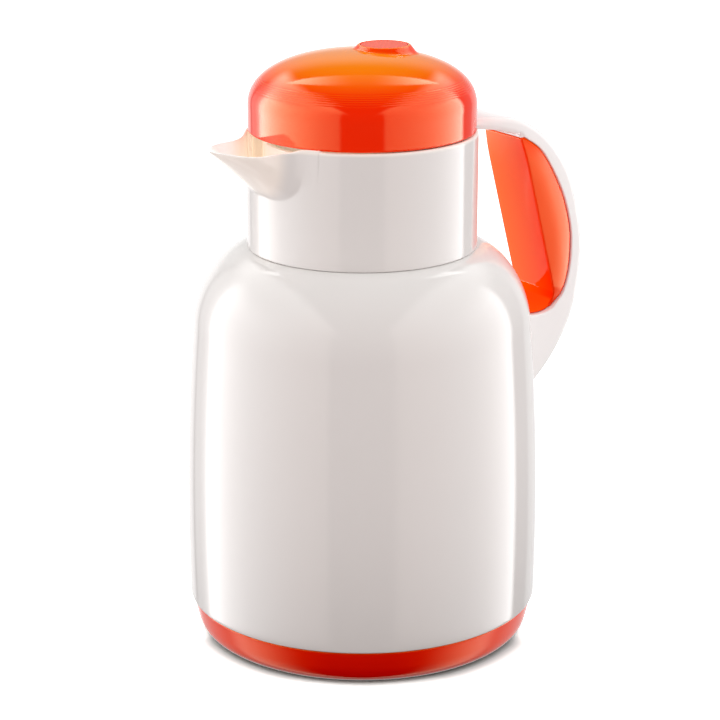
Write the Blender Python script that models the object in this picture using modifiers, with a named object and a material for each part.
"""Insulated serving jug: glass vacuum liner in a plastic case, side handle,
pouring lip and a screw stopper with a domed lid.

Frame: origin on the centre line at table level, +Z up, +X towards the handle,
-X towards the pouring lip.  The jug is symmetrical about the XZ plane, apart
from its threads.  Dimensions are in mm; MM turns them into Blender's metres.
"""

import bmesh
import bpy
from math import copysign, cos, hypot, pi, radians, sin, sqrt
from mathutils import Matrix, Vector

MM = 0.001

# ---------------------------------------------------------------- dimensions
GAP = 0.3                # clearance between pieces that rest on each other
SEG = 40                 # segments of the case, neck and lid
SEG_IN = 28              # segments of the pieces inside
SHARP_ANGLE = 35         # degrees; edges bent more than this stay sharp

# case
BODY_R = 75.2            # largest radius of the case
BODY_R_Z = 45.0          # height of the largest radius
BARREL = 0.0004625       # how fast the barrel narrows, per mm squared
SHOULDER_Z0 = 138.0      # where the shoulder starts to turn in
SHOULDER_TOP = 170.0     # top of the shoulder, foot of the neck
SHOULDER_R = 46.0        # radius the shoulder turns in to
CASE_HOLE_R = SHOULDER_R + 0.35
WALL = 2.4               # wall of the case and the neck
SEAM_Z = 15.6            # joint between the case and the base
SEAM_HALF_GAP = 0.2      # each side of the joint stands off by this much

# neck
NECK_R = 48.26
NECK_IN_R = NECK_R - WALL
RIM_Z = 218.3
GUTTER_Z = 199.0         # floor of the pouring gutter inside the neck
GUTTER_FLOOR = 2.2       # thickness of that floor
TUBE_R = 39.2            # threaded tube, inside
TUBE_OUT = 41.4          # threaded tube, outside
TUBE_TOP = 216.3
SPIGOT_R = 45.6          # spigot of the neck through the case
SPIGOT_IN_R = SPIGOT_R - 2.6
SPIGOT_Z = 161.6         # lower end of the spigot
SEAT_R = 29.5            # bore the stopper's seal closes
SEAT_OUT = SEAT_R + 2.3
SEAT_Z = 171.4           # lower end of that bore

# pouring lip
LIP_TIP = -73.4
LIP_ROOT = -40.0
LIP_SLOPE = 0.80         # drop of the keel per mm behind the tip
LIP_TIP_DEPTH = 0.9
LIP_WALL = 1.9
LIP_KEEL_SHRINK = 1.15   # the keel's wall, as a multiple of the side wall
LIP_POWER = 2.4          # squareness of the lip's section
LIP_NOSE = 17.0          # length and half width of the blunt nose
LIP_POINTS = 13          # points across the lip
# x of the sections of the skin and of the hollow, from the neck to the tip
LIP_SKIN_X = (LIP_ROOT, -43.0, -46.0, -50.0, -55.0, -60.0, -64.0, -68.0, -71.0, -72.6, LIP_TIP)
LIP_HOLLOW_X = (-42.7, -44.5, -46.5, -48.0, -50.0, -52.0, -56.0, -60.0, -64.0, -67.5, -70.3)

# lid
LID_R = 47.5
LID_Z = 219.6            # lower edge of the lid
LID_SIDE = 229.0         # top of the straight side
LID_TOP = 251.5
LID_POWER = 2.3          # squareness of the dome
LID_WALL = 2.2
BOSS_X = 12.0            # the boss stands off centre, towards the handle
BOSS_TOP = 253.2
DISC_R = 10.9

# screw threads: all have three starts
STARTS = 3
BASE_LEAD = 9.0          # rise per turn between case and base
BASE_RIDGE = 0.9         # radius of a rounded ridge there
BASE_RIDGE_OUT = 0.25    # a ridge's centre line stands this far off its wall
BASE_COLLAR_R = 70.4     # outside of the base's threaded collar
LEAD = 21.0              # rise per turn of the stopper
RIDGE = 1.25             # radius of its rounded ridges
THREAD_Z = 200.4         # height at which each ridge in the tube starts
TUBE_THREAD_START = 196  # degrees round Z
STOPPER_THREAD_START = 210
THREAD_SPACE = 3.0       # axial distance from the tube's ridge to the stopper's
STOPPER_R = 36.4

# glass liner
LINER_R = 66.0
GLASS = 1.6
VACUUM = 3.8
LINER_IN_R = LINER_R - GLASS
FLASK_R = LINER_IN_R - VACUUM
FLASK_IN_R = FLASK_R - GLASS
LINER_NECK_R = 30.4      # inside of the outer flask's neck
FLASK_NECK_R = 28.9      # outside of the inner flask's neck
BORE_R = 27.5            # inside of the inner flask's neck
LIP_RING_R = 32.0        # outside of both flasks' necks at the mouth
MOUTH_Z = 168.2
SPACER_Z = 86.0

# handle
HANDLE_HALF = 14.6       # half its width across
INSERT_HALF = HANDLE_HALF - 0.1
TONGUE_HALF = 4.0        # tongue that plugs into the neck: half width
TONGUE_Z = (211.0, 216.0)
TONGUE_DEPTH = 1.0
SOCKET_DEPTH = 1.35
SCREWS_Z = (106.0, 117.0)
SCREW_GRIP = 10.6        # shank of a handle screw
SPLINE_STEPS = 3         # points per span of a smoothed outline

# Handle outlines: (x, z) in the XZ plane.
# outer edge, from the neck over the top and down to the case
HANDLE_BACK = [
    (44.0, 219.2), (60.0, 219.2), (73.5, 216.4), (87.5, 206.4), (99.0, 189.5),
    (105.6, 165.0), (105.8, 148.0), (101.5, 126.5), (91.0, 108.5), (77.0, 94.5),
    (68.0, 88.0)]
# ends of the straight grip face, which leans away from the case going down
GRIP_TOP = (73.2, 208.6)
GRIP_LOW = (92.6, 130.6)
# edge towards the case: top of the lower arm, grip face, underside of the upper arm
HANDLE_FACE = [
    (68.0, 126.0), (74.5, 122.6), (81.0, 121.6), (87.2, 123.4), (91.2, 127.0),
    GRIP_LOW, GRIP_TOP, (71.6, 210.2), (69.2, 210.8), (44.0, 210.0)]
# outer edge of the grip insert, top to bottom
INSERT_ARC = [
    (74.5, 209.4), (85.3, 203.0), (93.0, 193.0), (99.2, 179.0), (101.8, 162.0),
    (101.0, 146.0), (98.2, 135.6), (92.6, 129.6)]


# ---------------------------------------------------------------- scene set-up
for old in list(bpy.data.objects):
    bpy.data.objects.remove(old, do_unlink=True)

PARTS = bpy.data.collections.new("serving_jug")
CUTTERS = bpy.data.collections.new("serving_jug_cutters")
for collection in (PARTS, CUTTERS):
    bpy.context.scene.collection.children.link(collection)


def place(obj, cutter):
    """Put an object among the parts, or among the hidden boolean tools."""
    for col in list(obj.users_collection):
        col.objects.unlink(obj)
    (CUTTERS if cutter else PARTS).objects.link(obj)
    if cutter:
        obj.hide_render = True
        obj.display_type = "WIRE"
    return obj


def add_object(name, data, cutter):
    return place(bpy.data.objects.new(name, data), cutter)


# ---------------------------------------------------------------- materials
def srgb(*channels):
    """Screen colour 0-255 to the linear values a shader takes."""
    def linear(channel):
        c = channel / 255.0
        return c / 12.92 if c <= 0.04045 else ((c + 0.055) / 1.055) ** 2.4
    return (*map(linear, channels), 1.0)


def material(name, colour, roughness, metallic=0.0):
    mat = bpy.data.materials.new(name)
    mat.use_nodes = True
    shader = mat.node_tree.nodes["Principled BSDF"]
    shader.inputs["Base Color"].default_value = colour
    shader.inputs["Roughness"].default_value = roughness
    shader.inputs["Metallic"].default_value = metallic
    mat.diffuse_color = colour
    return mat


WHITE = material("white_gloss_plastic", srgb(243, 240, 236), roughness=0.12)
ORANGE = material("orange_gloss_plastic", srgb(250, 78, 16), roughness=0.10)
CORAL = material("coral_inlay_plastic", srgb(238, 92, 88), roughness=0.25)
NATURAL = material("natural_white_plastic", srgb(236, 232, 224), roughness=0.35)
GREY_RUBBER = material("grey_rubber", srgb(96, 96, 98), roughness=0.7)
SILICONE = material("clear_silicone", srgb(214, 216, 214), roughness=0.45)
FOAM = material("white_foam", srgb(240, 240, 236), roughness=0.9)
SILVERED = material("silvered_glass", srgb(205, 208, 212), roughness=0.05, metallic=1.0)
PAD = material("ceramic_pad", srgb(190, 184, 170), roughness=0.8)
STEEL = material("zinc_steel", srgb(176, 178, 182), roughness=0.3, metallic=1.0)


def finish(obj, mat):
    obj.data.materials.append(mat)
    obj.data.shade_smooth()
    obj.data.set_sharp_from_angle(angle=radians(SHARP_ANGLE))
    return obj


# ---------------------------------------------------------------- builders
def turned(name, profile, segments, closed=True, cutter=False):
    """Turned piece: a profile of (radius, height) swept round Z.

    A profile that starts and ends on the axis is left open (closed=False).
    """
    verts = [(r * MM, 0.0, z * MM) for r, z in profile]
    edges = [(i, i + 1) for i in range(len(verts) - 1)]
    if closed:
        edges.append((len(verts) - 1, 0))
    mesh = bpy.data.meshes.new(name)
    mesh.from_pydata(verts, edges, [])
    obj = add_object(name, mesh, cutter)
    screw = obj.modifiers.new("Turn", "SCREW")
    screw.axis = "Z"
    screw.angle = 2 * pi
    screw.steps = segments
    screw.render_steps = segments
    screw.use_merge_vertices = True
    screw.merge_threshold = 0.00001
    screw.use_normal_calculate = False
    return obj


def to_mesh(obj):
    """Replace a curve object by its evaluated, welded mesh."""
    deps = bpy.context.evaluated_depsgraph_get()
    deps.update()
    mesh = bpy.data.meshes.new_from_object(obj.evaluated_get(deps))
    bm = bmesh.new()
    bm.from_mesh(mesh)
    bmesh.ops.remove_doubles(bm, verts=bm.verts, dist=0.000005)
    bmesh.ops.recalc_face_normals(bm, faces=bm.faces)
    bm.to_mesh(mesh)
    bm.free()
    name = obj.name
    matrix = obj.matrix_world.copy()
    cutter = obj.hide_render
    bpy.data.objects.remove(obj, do_unlink=True)
    new = add_object(name, mesh, cutter)
    new.matrix_world = matrix
    return new


def add_poly(curve, points, cyclic=False):
    """Add a straight-segment spline through points in mm."""
    spline = curve.splines.new("POLY")
    spline.points.add(len(points) - 1)
    for point, (x, y, z) in zip(spline.points, points):
        point.co = (x * MM, y * MM, z * MM, 1.0)
    spline.use_cyclic_u = cyclic


def plate(name, outline, half, round_over=0.0, cutter=False):
    """Flat piece from a closed (x, z) outline, half wide to each side of Y = 0."""
    curve = bpy.data.curves.new(name, "CURVE")
    curve.dimensions = "2D"
    curve.fill_mode = "BOTH"
    curve.extrude = (half - round_over) * MM
    curve.bevel_depth = round_over * MM
    curve.bevel_resolution = 1
    curve.offset = -round_over * MM
    add_poly(curve, [(x, z, 0.0) for x, z in outline], cyclic=True)
    obj = add_object(name, curve, cutter)
    obj.rotation_euler = (pi / 2, 0.0, 0.0)
    return to_mesh(obj)


def helix(name, radius, z_start, start, span, lead, ridge, points):
    """Rounded thread ridge: a tube on a right-hand helix round Z, angles in degrees."""
    curve = bpy.data.curves.new(name, "CURVE")
    curve.dimensions = "3D"
    curve.bevel_depth = ridge * MM
    curve.bevel_resolution = 1
    curve.use_fill_caps = True
    path = []
    for i in range(points):
        angle = radians(start + span * i / (points - 1))
        turn = span * i / (points - 1) / 360.0
        path.append((radius * cos(angle), radius * sin(angle), z_start + lead * turn))
    add_poly(curve, path)
    return to_mesh(add_object(name, curve, cutter=True))


def block(name, low, high):
    """Box-shaped boolean tool between two opposite corners."""
    bpy.ops.mesh.primitive_cube_add(size=1.0)
    obj = bpy.context.object
    obj.name = name
    size = [(h - l) * MM for l, h in zip(low, high)]
    obj.data.transform(Matrix.Diagonal((*size, 1.0)))
    obj.location = [(h + l) / 2 * MM for l, h in zip(low, high)]
    return place(obj, cutter=True)


def rod(name, radius, depth, centre, axis="Z", sides=16, cutter=True):
    bpy.ops.mesh.primitive_cylinder_add(
        vertices=sides, radius=radius * MM, depth=depth * MM,
        location=[c * MM for c in centre],
        rotation=(0, pi / 2 if axis == "X" else 0, 0))
    obj = bpy.context.object
    obj.name = name
    return place(obj, cutter)


def loft(name, rings):
    """Closed boolean tool skinned over rings that all have the same count of points."""
    bm = bmesh.new()
    rings = [[bm.verts.new(Vector(p) * MM) for p in ring] for ring in rings]
    count = len(rings[0])
    for ring, following in zip(rings, rings[1:]):
        for i in range(count):
            j = (i + 1) % count
            bm.faces.new((ring[i], ring[j], following[j], following[i]))
    bm.faces.new(rings[0][::-1])
    bm.faces.new(rings[-1])
    bmesh.ops.recalc_face_normals(bm, faces=bm.faces)
    mesh = bpy.data.meshes.new(name)
    bm.to_mesh(mesh)
    bm.free()
    return add_object(name, mesh, cutter=True)


def combine(obj, tool, operation):
    mod = obj.modifiers.new(tool.name, "BOOLEAN")
    mod.operation = operation
    mod.object = tool
    mod.solver = "EXACT"


def cut(obj, tool):
    combine(obj, tool, "DIFFERENCE")


def join(obj, tool):
    combine(obj, tool, "UNION")


def add_thread(obj, prefix, start, **ridge):
    """Join one ridge per start, evenly spaced round Z."""
    for k in range(STARTS):
        join(obj, helix("%s_thread_%d" % (prefix, k), start=start + 360 // STARTS * k, **ridge))


# ---------------------------------------------------------------- shapes
def case_radius(z):
    """Outer radius of the case at height z: a barrel under an elliptic shoulder."""
    r = BODY_R - BARREL * (z - BODY_R_Z) ** 2
    if z <= SHOULDER_Z0:
        return r
    t = (z - SHOULDER_Z0) / (SHOULDER_TOP - SHOULDER_Z0)
    return SHOULDER_R + (r - SHOULDER_R) * sqrt(1.0 - t * t)


def case_side(offset, low, points, arc):
    """Points of the case's side, moved outwards by offset.

    They run down from just outside the neck: arc points on the shoulder, then
    points - 1 more down to the height low.
    """
    heights = []
    for i in range(arc):
        angle = radians(84.0) * (1 - i / (arc - 1))
        heights.append(SHOULDER_Z0 + (SHOULDER_TOP - SHOULDER_Z0) * sin(angle))
    for i in range(1, points):
        heights.append(SHOULDER_Z0 + (low - SHOULDER_Z0) * i / (points - 1))
    side = [(case_radius(z), z) for z in heights]
    moved = []
    for i, (r, z) in enumerate(side):
        r0, z0 = side[max(0, i - 1)]
        r1, z1 = side[min(len(side) - 1, i + 1)]
        length = hypot(r1 - r0, z1 - z0)
        moved.append((r - (z1 - z0) / length * offset, z + (r1 - r0) / length * offset))
    return moved


def dome(radius, z_top, count):
    """Points of the lid's dome from its top centre down to its side."""
    pts = []
    for i in range(count):
        angle = pi / 2 * (1 - i / (count - 1))
        pts.append((radius * cos(angle) ** (2 / LID_POWER),
                    LID_SIDE + (z_top - LID_SIDE) * sin(angle) ** (2 / LID_POWER)))
    return pts


def ellipse_arc(r0, z0, half_r, half_z, deg0, deg1, count):
    """Arc of an ellipse centred on (r0, z0) with the given half axes."""
    angles = [radians(deg0 + (deg1 - deg0) * i / (count - 1)) for i in range(count)]
    return [(r0 + half_r * cos(a), z0 + half_z * sin(a)) for a in angles]


def lip_half_width(x):
    """Half width of the pouring lip: a blunt nose that flares into the neck."""
    t = x - LIP_TIP
    nose = LIP_NOSE * sin(pi / 2 * min(1.0, t / LIP_NOSE)) ** 0.82
    flare = 10.5 * max(0.0, (t - 24.0) / 9.4) ** 2
    return max(0.6, nose + flare)


def lip_rim(x):
    """Height of the lip's rim: it dips a little between the tip and the neck."""
    return RIM_Z - 0.3 - sin(pi * (x - LIP_TIP) / (LIP_ROOT - LIP_TIP))


def lip_section(x, shrink=0.0, top=None, floor=0.0):
    """Ring of points across the lip at x: flat on top, rounded below.

    It goes no deeper than floor; top carries its sides straight up.
    """
    half = lip_half_width(x) - shrink
    depth = (x - LIP_TIP) * LIP_SLOPE + LIP_TIP_DEPTH - shrink * LIP_KEEL_SHRINK
    rim = lip_rim(x)
    ring = []
    for i in range(LIP_POINTS):
        angle = pi * i / (LIP_POINTS - 1)
        c, s = cos(angle), max(0.0, sin(angle))
        y = half * copysign(abs(c) ** (2 / LIP_POWER), c)
        ring.append((x, y, max(floor, rim - depth * s ** (2 / LIP_POWER))))
    if top is not None:
        ring = [(x, half, top)] + ring + [(x, -half, top)]
    return ring


def spline_points(knots):
    """Catmull-Rom points through a few design knots."""
    pts = []
    k = [Vector(p) for p in knots]
    k = [k[0] * 2 - k[1]] + k + [k[-1] * 2 - k[-2]]
    for p0, p1, p2, p3 in zip(k, k[1:], k[2:], k[3:]):
        for j in range(SPLINE_STEPS):
            t = j / SPLINE_STEPS
            q = 0.5 * ((2 * p1) + (p2 - p0) * t + (2 * p0 - 5 * p1 + 4 * p2 - p3) * t * t
                       + (3 * p1 - p0 - 3 * p2 + p3) * t ** 3)
            pts.append((q.x, q.y))
    pts.append(knots[-1])
    return pts


def close_along_grip(edge, inset):
    """Close an outer edge with a line parallel to the grip face, inset behind it in x."""
    lean = (GRIP_LOW[0] - GRIP_TOP[0]) / (GRIP_LOW[1] - GRIP_TOP[1])

    def grip_point(z):
        return (GRIP_TOP[0] + (z - GRIP_TOP[1]) * lean + inset, z)

    return [grip_point(edge[0][1])] + edge + [grip_point(edge[-1][1])]


# ---------------------------------------------------------------- case
def build_body_shell():
    low = SEAM_Z + SEAM_HALF_GAP
    seam_r = case_radius(SEAM_Z)
    outer = case_side(0.0, low, points=6, arc=8)
    # the bottom edge of the case is drawn in a little where it meets the base
    draw_in_z = SEAM_Z + 3.2
    outer[-1:] = [(case_radius(draw_in_z), draw_in_z), (seam_r - 0.65, low)]
    # the offset side is kept clear of the hole for the neck
    inner = [p for p in case_side(-WALL, low, points=3, arc=5) if p[0] > SHOULDER_R + 2.5]
    inner[-1] = (seam_r - WALL, low)
    profile = ([(CASE_HOLE_R, SHOULDER_TOP)] + outer + inner[::-1]
               + [(CASE_HOLE_R, SHOULDER_TOP - 2.6)])
    shell = turned("body_shell", profile, SEG)
    add_thread(shell, "case", start=10, span=70, radius=seam_r - WALL - BASE_RIDGE_OUT,
               z_start=21.4, lead=BASE_LEAD, ridge=BASE_RIDGE, points=8)
    for k, z in enumerate(SCREWS_Z):
        cut(shell, rod("case_screw_hole_%d" % k, 2.0, 12, (72.0, 0, z), "X"))
    finish(shell, WHITE)


# ---------------------------------------------------------------- neck
def build_neck_collar():
    gutter_under = GUTTER_Z - GUTTER_FLOOR
    neck_foot = SHOULDER_TOP + GAP
    collar = turned("neck_collar", [
        # outer side, down to the end of the spigot
        (NECK_R - 0.6, RIM_Z), (NECK_R, RIM_Z - 0.8), (NECK_R, neck_foot),
        (SPIGOT_R, neck_foot), (SPIGOT_R, SPIGOT_Z), (SPIGOT_IN_R, SPIGOT_Z),
        # up under the gutter, then down to the seat
        (SPIGOT_IN_R, 173.0), (NECK_IN_R, 176.0), (NECK_IN_R, gutter_under),
        (TUBE_OUT, gutter_under), (TUBE_OUT, 186.2), (SEAT_OUT, 176.6), (SEAT_OUT, SEAT_Z),
        # up inside the threaded tube
        (SEAT_R, SEAT_Z), (SEAT_R, 177.2), (TUBE_R, 187.0), (TUBE_R, TUBE_TOP),
        # down into the gutter and up to the rim
        (TUBE_OUT, TUBE_TOP), (TUBE_OUT, GUTTER_Z), (NECK_IN_R, GUTTER_Z),
        (NECK_IN_R, RIM_Z - 0.5), (NECK_IN_R + 0.6, RIM_Z)], SEG)

    lip_skin = loft("lip_skin", [lip_section(x) for x in LIP_SKIN_X])
    # the trim keeps the lip's skin out of the inside of the neck
    trim_r = NECK_IN_R + 0.1
    cut(lip_skin, turned("lip_trim", [
        (trim_r, 230.0), (trim_r, 180.0), (20.0, 180.0), (20.0, 230.0)], SEG, cutter=True))
    join(collar, lip_skin)
    # the trough goes a little below the gutter's floor, so that the gutter drains into it
    cut(collar, loft("lip_hollow", [
        lip_section(x, LIP_WALL, top=RIM_Z + 6, floor=GUTTER_Z - 0.2) for x in LIP_HOLLOW_X]))
    # opening through the threaded tube on the lip's side
    cut(collar, block("pour_window", (-44.0, -11.0, 203.0), (-34.0, 11.0, 224.0)))
    add_thread(collar, "neck", start=TUBE_THREAD_START, span=88, radius=TUBE_R - 0.75,
               z_start=THREAD_Z, lead=LEAD, ridge=RIDGE, points=12)
    half = TONGUE_HALF + GAP
    cut(collar, block("handle_socket", (NECK_R - SOCKET_DEPTH, -half, TONGUE_Z[0] - GAP),
                      (NECK_R + 3, half, TONGUE_Z[1] + GAP)))
    finish(collar, WHITE)


def build_collar_lock_ring():
    """Flat ring round the spigot, inside the case."""
    ring = turned("collar_lock_ring", [
        (51.4, 165.6), (51.4, 162.4), (SPIGOT_R + GAP, 162.4), (SPIGOT_R + GAP, 165.6)], SEG)
    finish(ring, NATURAL)


def build_neck_gasket():
    """Gasket between the liner's mouth and the neck."""
    gasket = turned("neck_gasket", [
        (33.4, 171.1), (33.4, 165.2), (32.3, 165.2), (32.3, MOUTH_Z + GAP),
        (29.0, MOUTH_Z + GAP), (29.0, 171.1)], SEG_IN)
    finish(gasket, SILICONE)


# ---------------------------------------------------------------- glass liner
def build_liner_outer_flask():
    shoulder_z = 128.0
    bottom_z = 38.0
    inside = ([(0.0, bottom_z - 18.4)]
              + ellipse_arc(0.0, bottom_z, LINER_IN_R, 18.4, -75, 0, 5)
              + ellipse_arc(LINER_NECK_R, shoulder_z, LINER_IN_R - LINER_NECK_R, 28.9, 0, 82, 5)
              + [(LINER_NECK_R, 161.0)])
    outside = ([(LINER_NECK_R, 166.3), (LIP_RING_R, 166.3), (LIP_RING_R, 161.0)]
               + ellipse_arc(LIP_RING_R, shoulder_z, LINER_R - LIP_RING_R, 30.5, 82, 0, 6)
               + ellipse_arc(0.0, bottom_z, LINER_R, 20.0, 0, -80, 6)
               # pointed tip under the bottom
               + [(4.0, 17.6), (2.6, 12.6), (0.0, 11.6)])
    flask = turned("liner_outer_flask", inside + outside, SEG_IN, closed=False)
    finish(flask, SILVERED)


def build_liner_inner_flask():
    shoulder_z = 126.0
    bottom_z = 44.0
    inside = ([(0.0, bottom_z - 18.4)]
              + ellipse_arc(0.0, bottom_z, FLASK_IN_R, 18.4, -75, 0, 5)
              + ellipse_arc(BORE_R, shoulder_z, FLASK_IN_R - BORE_R, 24.6, 0, 80, 5)
              + [(BORE_R, 157.0)])
    outside = ([(BORE_R, MOUTH_Z), (LIP_RING_R, MOUTH_Z), (LIP_RING_R, 166.6),
                (FLASK_NECK_R, 166.6), (FLASK_NECK_R, 158.0)]
               + ellipse_arc(FLASK_NECK_R, shoulder_z, FLASK_R - FLASK_NECK_R, 26.0, 80, 0, 5)
               + ellipse_arc(0.0, bottom_z, FLASK_R, 20.0, 0, -75, 5)
               + [(0.0, bottom_z - 20.0)])
    flask = turned("liner_inner_flask", inside + outside, SEG_IN, closed=False)
    finish(flask, SILVERED)


def build_liner_spacers():
    """Three round pads standing radially between the flasks."""
    middle = (LINER_IN_R + FLASK_R) / 2 - 0.1
    for k in range(3):
        angle = radians(60 + 120 * k)
        pad = rod("liner_spacer_%d" % (k + 1), 4.0, VACUUM - 0.9,
                  (middle * cos(angle), middle * sin(angle), SPACER_Z), "X", 12, cutter=False)
        pad.rotation_euler.z = angle
        finish(pad, PAD)


def build_liner_cushion():
    """Ring under the liner, its top sloped to the liner's bottom."""
    cushion = turned("liner_cushion", [
        (14.0, 17.6), (22.0, 18.3), (32.4, 19.9), (32.4, 5.3), (14.0, 5.3)], SEG_IN)
    finish(cushion, GREY_RUBBER)


# ---------------------------------------------------------------- base
def build_base_cup():
    seam = SEAM_Z - SEAM_HALF_GAP
    cup = turned("base_cup", [
        # upper side, with a raised ring round the cushion
        (0.0, 5.0), (33.0, 5.0), (33.0, 9.0), (35.0, 9.0), (35.0, 5.0), (66.8, 5.0),
        # threaded collar
        (68.4, 7.0), (68.4, 27.0), (BASE_COLLAR_R, 27.0), (BASE_COLLAR_R, seam),
        # outer side, foot ring and recessed underside
        (73.75, seam), (72.7, 10.0), (71.7, 5.6), (70.2, 2.6), (67.6, 0.7), (64.4, 0.0),
        (60.0, 0.0), (58.4, 2.4), (32.0, 2.4), (30.4, 0.0), (0.0, 0.0)], SEG, closed=False)
    add_thread(cup, "base", start=15, span=60, radius=BASE_COLLAR_R + BASE_RIDGE_OUT,
               z_start=19.4, lead=BASE_LEAD, ridge=BASE_RIDGE, points=7)
    finish(cup, ORANGE)


def build_base_seal_ring():
    low = SEAM_Z + 0.1
    ring = turned("base_seal_ring", [(71.9, 17.3), (71.9, low), (70.75, low), (70.75, 17.3)], SEG)
    finish(ring, GREY_RUBBER)


# ---------------------------------------------------------------- handle
def tongue(name):
    """Block of the tongue that reaches from the handle into the neck."""
    return block(name, (NECK_R - TONGUE_DEPTH, -TONGUE_HALF, TONGUE_Z[0]),
                 (NECK_R + 4, TONGUE_HALF, TONGUE_Z[1]))


def insert_pocket(arc):
    """Pocket for the grip insert, cut right across the handle."""
    first_x, first_z = arc[0]
    last_x, last_z = arc[-1]
    outline = ([(GRIP_TOP[0] - 3.0, GRIP_TOP[1] + 0.1 + GAP),
                (first_x + GAP * 0.9, first_z + GAP * 0.5)]
               + [(x + GAP, z) for x, z in arc[1:-1]]
               + [(last_x + 0.1, last_z - GAP), (GRIP_LOW[0] - 5.0, last_z - GAP)])
    return plate("insert_pocket", outline, HANDLE_HALF + 2.0, cutter=True)


def neck_clearance():
    """Room for the neck, less the tongue."""
    radius = NECK_R + GAP
    trim = turned("neck_clearance", [
        (radius, 224.0), (radius, 216.6), (radius, 210.4), (radius, 180.0), (20.0, 180.0),
        (20.0, 224.0)], SEG, cutter=True)
    cut(trim, tongue("tongue_keep"))
    return trim


def case_clearance():
    """Room for the case."""
    low = 60.0
    side = case_side(GAP + 0.1, low, points=7, arc=4)
    return turned("case_clearance", side + [(20.0, low), (20.0, side[0][1])], SEG, cutter=True)


def build_handle_shell(arc):
    shell = plate("handle_shell", spline_points(HANDLE_BACK) + HANDLE_FACE, HANDLE_HALF, 2.6)
    cut(shell, insert_pocket(arc))
    # thin rib along the middle of the pocket, standing in the insert's hollow
    rib_edge = [(x + 2.0, z) for x, z in arc[4:-4]]
    join(shell, plate("handle_rib", close_along_grip(rib_edge, 3.6), 2.5, cutter=True))
    join(shell, tongue("handle_tongue"))
    cut(shell, neck_clearance())
    cut(shell, case_clearance())
    for k, z in enumerate(SCREWS_Z):
        cut(shell, rod("handle_pilot_%d" % k, 1.9, 13.4, (75.4, 0, z), "X"))
    finish(shell, WHITE)


def build_grip_insert(arc):
    last_x, last_z = arc[-1]
    insert = plate("handle_grip_insert", [GRIP_TOP] + arc[:-1] + [(last_x - 0.1, last_z)],
                   INSERT_HALF, 1.4)
    # the hollow runs out through the insert's outer edge
    edge = [(x + 4.0, z) for x, z in arc[2:-3]]
    edge[0] = (edge[0][0], edge[0][1] + 6.0)
    cut(insert, plate("insert_hollow", close_along_grip(edge, 3.0), HANDLE_HALF - 2.6,
                      cutter=True))
    finish(insert, ORANGE)


def build_handle_screws():
    for k, z in enumerate(SCREWS_Z):
        # from the tip down the shank to the head, which has a recess in its end
        screw = turned("handle_screw_%d" % (k + 1), [
            (0.0, 0.0), (1.0, 0.0), (1.6, -1.6), (1.6, -SCREW_GRIP), (3.3, -SCREW_GRIP),
            (3.3, -SCREW_GRIP - 1.3), (2.3, -SCREW_GRIP - 2.2), (0.9, -SCREW_GRIP - 2.3),
            (0.6, -SCREW_GRIP - 1.4), (0.0, -SCREW_GRIP - 1.4)], 16, closed=False)
        screw.rotation_euler = (0.0, pi / 2, 0.0)
        # the head bears on the flats inside the case, which narrows upwards
        bearing = (case_radius(z + 4.0) - WALL) * cos(pi / SEG) - GAP
        screw.location = ((bearing + SCREW_GRIP) * MM, 0.0, z * MM)
        finish(screw, STEEL)


# ---------------------------------------------------------------- lid
def build_lid_dome():
    in_r = LID_R - LID_WALL
    profile = (dome(LID_R, LID_TOP, 9)
               + [(LID_R, 221.0), (LID_R - 0.7, LID_Z), (in_r, LID_Z)]
               + dome(in_r, LID_TOP - LID_WALL, 7)[::-1])
    lid = turned("lid_dome", profile, SEG, closed=False)
    boss = turned("lid_boss", [
        (0.0, BOSS_TOP), (12.2, BOSS_TOP), (13.2, BOSS_TOP - 0.5), (16.0, BOSS_TOP - 2.0),
        (19.5, BOSS_TOP - 4.4), (12.0, BOSS_TOP - 4.5), (0.0, BOSS_TOP - 3.4)],
        SEG_IN, closed=False, cutter=True)
    boss.location = (BOSS_X * MM, 0.0, 0.0)
    join(lid, boss)
    cut(lid, rod("disc_recess", DISC_R + GAP, 3.2, (BOSS_X, 0, BOSS_TOP), sides=SEG_IN))
    return finish(lid, ORANGE)


def build_lid_disc():
    disc = rod("lid_disc", DISC_R, 1.2, (BOSS_X, 0, BOSS_TOP - 0.7), sides=SEG_IN, cutter=False)
    return finish(disc, CORAL)


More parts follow.
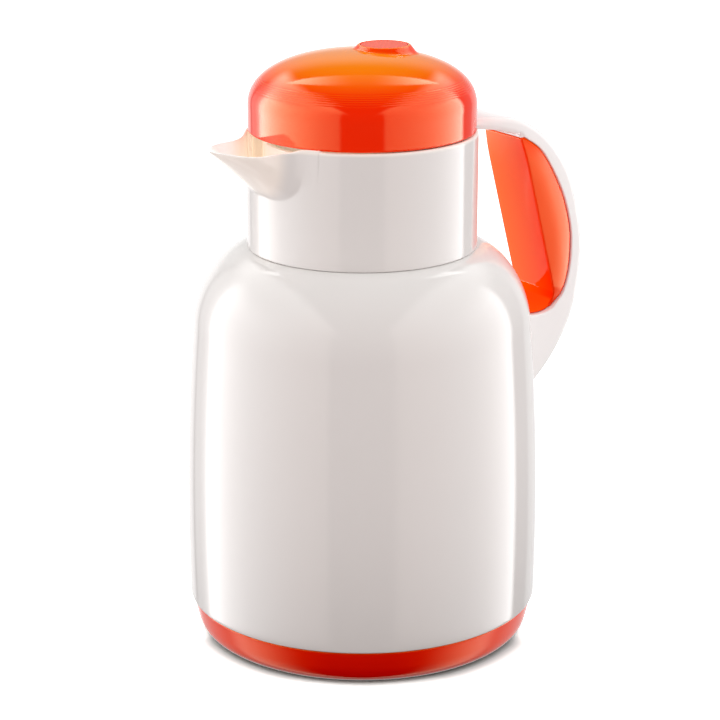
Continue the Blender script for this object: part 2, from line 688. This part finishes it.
def build_stopper_body():
    body = turned("stopper_body", [
        (44.7, 221.8), (44.7, 219.9), (STOPPER_R, 219.9), (STOPPER_R, 188.6), (28.4, 178.4),
        (28.4, 176.5), (26.0, 176.5), (26.0, 172.7), (24.0, 172.7), (24.0, 179.6),
        (34.2, 190.4), (34.2, 221.8)], SEG)
    # the stopper's ridges run parallel to the tube's, THREAD_SPACE below them
    climb = LEAD * (STOPPER_THREAD_START - TUBE_THREAD_START) / 360.0
    add_thread(body, "stopper", start=STOPPER_THREAD_START, span=60, radius=STOPPER_R + 0.7,
               z_start=THREAD_Z - THREAD_SPACE + climb, lead=LEAD, ridge=RIDGE, points=9)
    return finish(body, NATURAL)


def build_stopper_insulation():
    plug = turned("stopper_insulation", [
        (0.0, 219.6), (33.6, 219.6), (33.6, 190.8), (23.4, 180.2), (23.4, 175.2),
        (0.0, 175.2)], SEG_IN, closed=False)
    return finish(plug, FOAM)


def build_stopper_cap():
    """Cap closing the lower end of the stopper."""
    cap = turned("stopper_cap", [
        (0.0, 174.8), (21.0, 174.8), (23.5, 174.8), (23.5, 172.4), (28.4, 172.4),
        (28.4, 171.0), (27.2, 170.2), (0.0, 170.2)], SEG_IN, closed=False)
    return finish(cap, NATURAL)


def build_stopper_seal():
    seal = turned("stopper_seal", [
        (28.7, 176.1), (29.1, 174.8), (28.7, 173.0), (26.35, 173.0), (26.35, 176.1)], SEG_IN)
    return finish(seal, SILICONE)


def build_lid():
    """Lid and stopper, all carried by one empty on the centre line."""
    pivot = add_object("lid_pivot", None, cutter=False)
    pivot.empty_display_size = 0.02
    pivot.location = (0.0, 0.0, LID_Z * MM)
    # the pivot's world matrix has to be up to date before it is inverted
    bpy.context.view_layer.update()
    for build in (build_lid_dome, build_lid_disc, build_stopper_body,
                  build_stopper_insulation, build_stopper_cap, build_stopper_seal):
        piece = build()
        piece.parent = pivot
        piece.matrix_parent_inverse = pivot.matrix_world.inverted()


# ---------------------------------------------------------------- assembly
build_body_shell()
build_neck_collar()
build_collar_lock_ring()
build_neck_gasket()

build_liner_outer_flask()
build_liner_inner_flask()
build_liner_spacers()
build_liner_cushion()

build_base_cup()
build_base_seal_ring()

insert_arc = spline_points(INSERT_ARC)
build_handle_shell(insert_arc)
build_grip_insert(insert_arc)
build_handle_screws()

build_lid()
bpy.context.view_layer.update()
